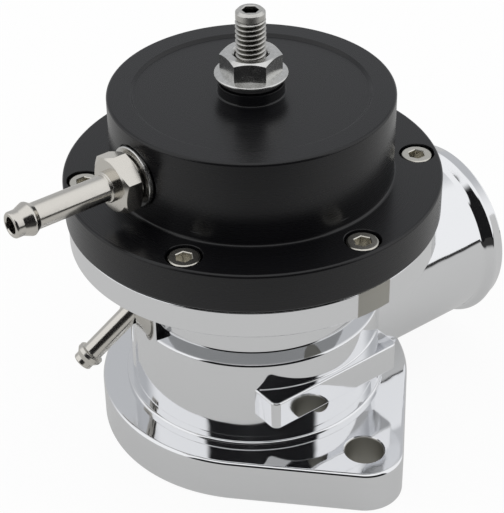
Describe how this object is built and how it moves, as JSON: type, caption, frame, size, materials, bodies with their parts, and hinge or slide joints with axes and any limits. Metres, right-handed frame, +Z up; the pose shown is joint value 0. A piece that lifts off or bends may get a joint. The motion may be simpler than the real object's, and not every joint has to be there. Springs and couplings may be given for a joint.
{
  "type": "blow off valve",
  "caption": "Spring-loaded diaphragm blow off valve with a two-bolt base flange, side hose outlet, screwed black cap, adjusting screw with lock nut, and two vacuum hose nipples.",
  "frame": {"origin": "centre of the base flange's underside, on the valve's axis", "axes": "+Z up along the valve's axis, +X along the outlet, +Y through the two bolt holes"},
  "size_m": [0.1111, 0.0892, 0.0953],
  "materials": {
    "chrome_plate": "mirror bright plating on cast aluminium",
    "black_anodised": "satin black anodised aluminium",
    "bright_steel": "bright stainless steel",
    "zinc_plate": "bright zinc plate",
    "nickel_plate": "bright nickel plate",
    "plain_aluminium": "turned aluminium",
    "bronze": "turned bronze",
    "rubber": "matt black rubber"
  },
  "bodies": {
    "housing": {"body_casting": "chrome_plate", "guide_bush": "bronze", "stem_seal": "rubber", "diaphragm": "rubber", "cap": "black_anodised", "cap_screw_1": "bright_steel", "cap_screw_2": "bright_steel", "cap_screw_3": "bright_steel", "cap_screw_4": "bright_steel", "cap_screw_5": "bright_steel", "cap_screw_6": "bright_steel", "upper_nipple": "nickel_plate", "nipple_washer": "zinc_plate", "lower_nipple": "nickel_plate", "spring": "bright_steel"},
    "valve": {"valve_stem": "bright_steel", "valve_head": "plain_aluminium", "valve_seal": "rubber", "head_nut": "zinc_plate", "lower_plate": "plain_aluminium", "upper_plate": "plain_aluminium", "plate_nut": "zinc_plate"},
    "spring_plate": {"spring_plate": "zinc_plate"},
    "adjusting_screw": {"adjusting_screw": "bright_steel"},
    "seal_washer": {"seal_washer": "rubber"},
    "lock_nut": {"lock_nut": "zinc_plate"}
  },
  "joints": [
    {"name": "valve_lift", "type": "slide", "parent": "housing", "child": "valve", "axis": [0, 0, 1], "range_m": [0, 0.007], "stiffness_N_per_m": 3000, "springref_m": -0.008, "deforming": ["spring", "diaphragm"]},
    {"name": "adjuster_travel", "type": "slide", "parent": "housing", "child": "spring_plate", "axis": [0, 0, 1], "range_m": [-0.003, 0.0024], "deforming": ["spring"]},
    {"name": "adjuster_turn", "type": "hinge", "parent": "spring_plate", "child": "adjusting_screw", "pos_m": [0, 0, 0.0708], "axis": [0, 0, 1], "range_deg": [-1080, 864]},
    {"name": "nut_lift", "type": "slide", "parent": "housing", "child": "seal_washer", "axis": [0, 0, 1], "range_m": [0, 0.005]},
    {"name": "nut_turn", "type": "hinge", "parent": "seal_washer", "child": "lock_nut", "pos_m": [0, 0, 0.0815], "axis": [0, 0, 1], "range_deg": [0, 1800]}
  ],
  "couplings": [
    {"joint": "adjuster_turn", "follows": "adjuster_travel", "rad_per_m": 6283.2},
    {"joint": "nut_turn", "follows": "nut_lift", "rad_per_m": 6283.2}
  ]
}
